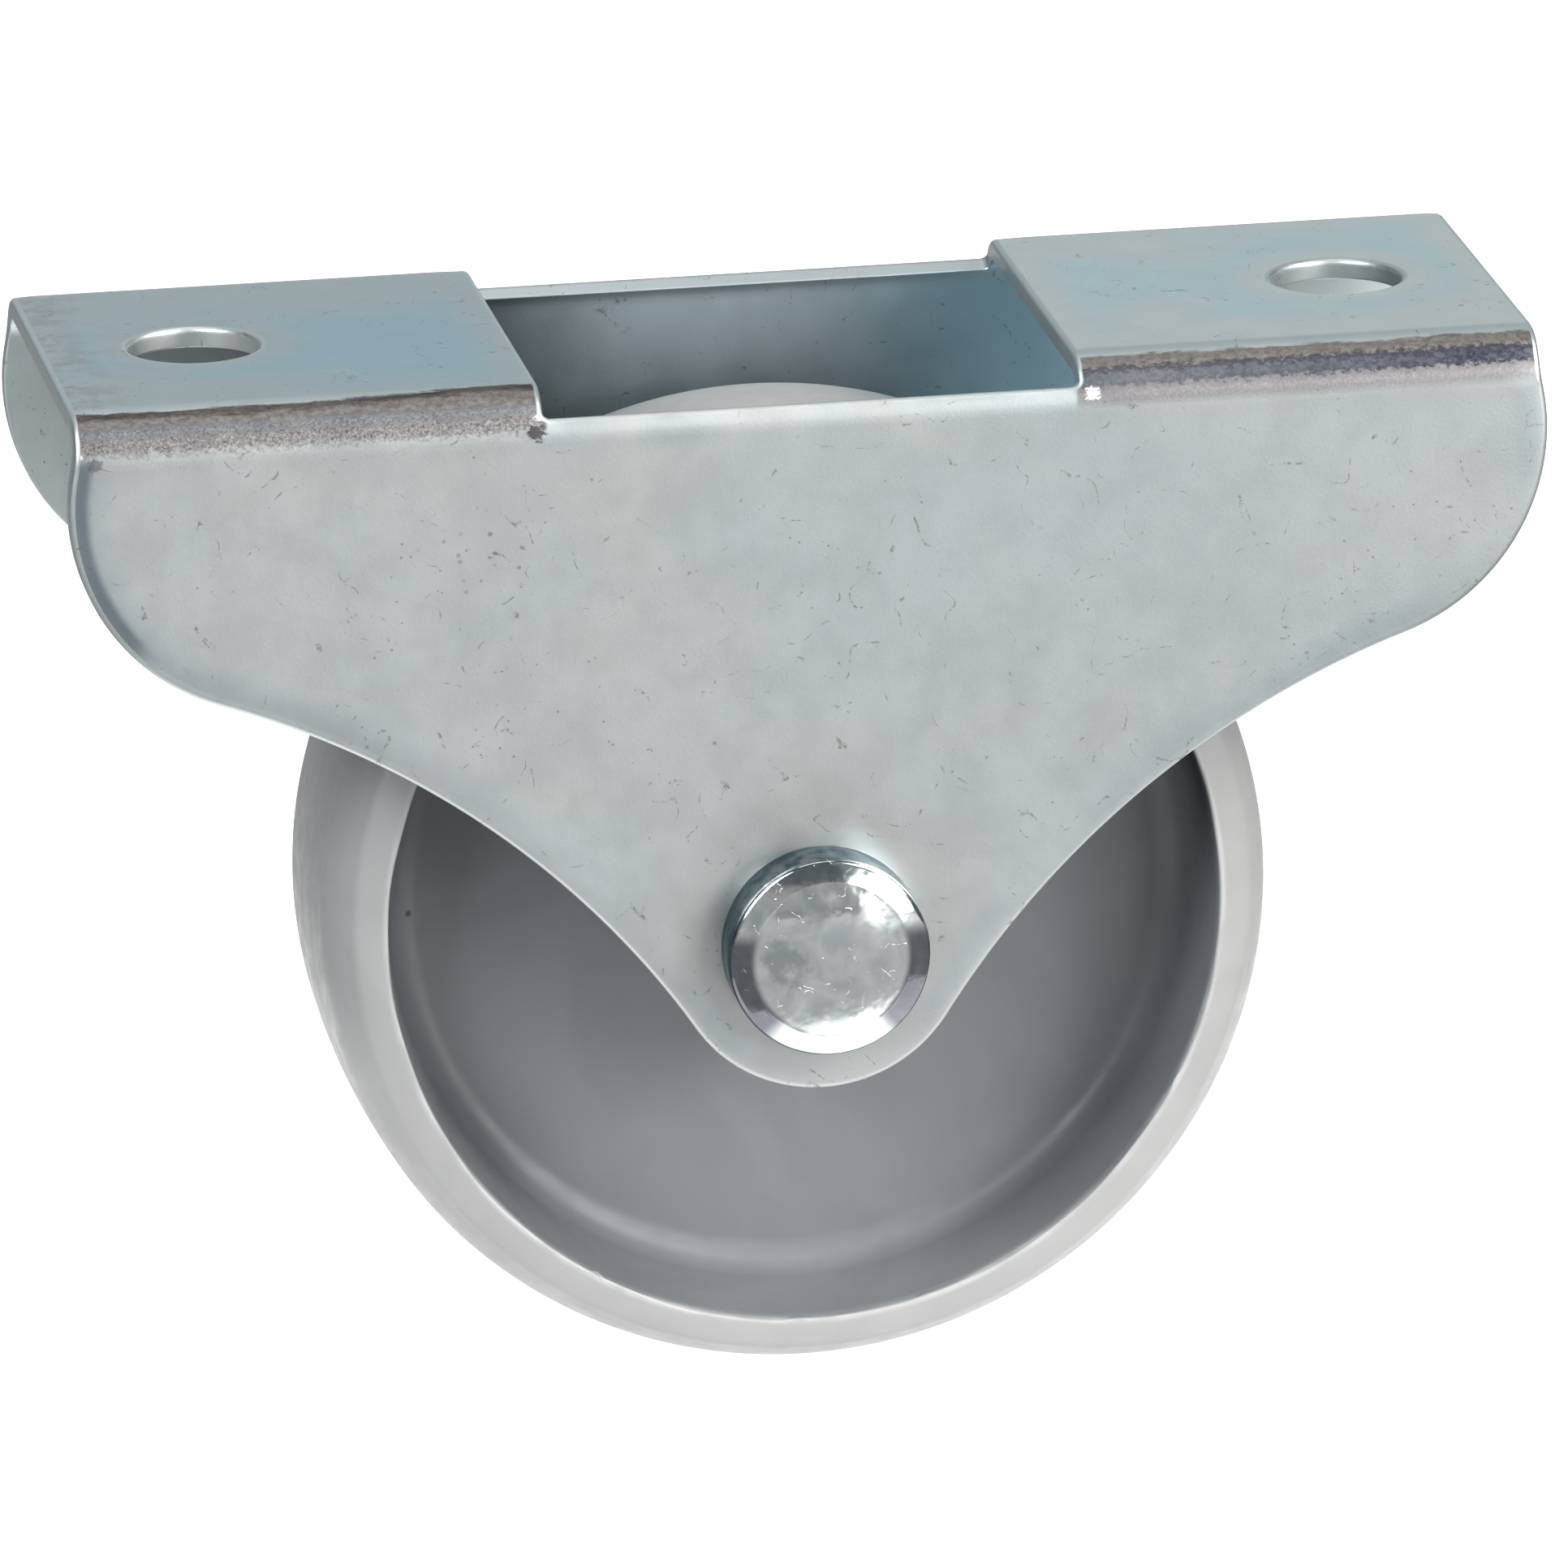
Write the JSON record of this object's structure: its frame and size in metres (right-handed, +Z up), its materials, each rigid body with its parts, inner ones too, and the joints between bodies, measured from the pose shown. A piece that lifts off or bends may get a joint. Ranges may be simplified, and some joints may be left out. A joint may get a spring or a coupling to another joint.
{
  "type": "fixed furniture caster",
  "caption": "Small fixed furniture caster: folded zinc-plated steel bracket with two screw tabs, a grey plastic wheel and a rivet axle.",
  "frame": {"origin": "midway between the two screw holes, in the mounting face", "axes": "+X along the bracket through both screw holes, +Y along the axle, +Z up out of the mounting face, towards the furniture"},
  "size_m": [0.0614, 0.0263, 0.0442],
  "materials": {
    "zinc_steel": "bright zinc plating, passivated, with fine scratches",
    "grey_plastic": "light grey moulded plastic, waxy",
    "bright_steel": "bright plated, mirror-like"
  },
  "bodies": {
    "frame": {"bracket": "zinc_steel", "axle_rivet": "bright_steel"},
    "wheel": {"wheel": "grey_plastic"}
  },
  "joints": [
    {"name": "wheel_spin", "type": "hinge", "parent": "frame", "child": "wheel", "pos_m": [0, 0, -0.0242], "axis": [0, 1, 0], "continuous": true}
  ]
}
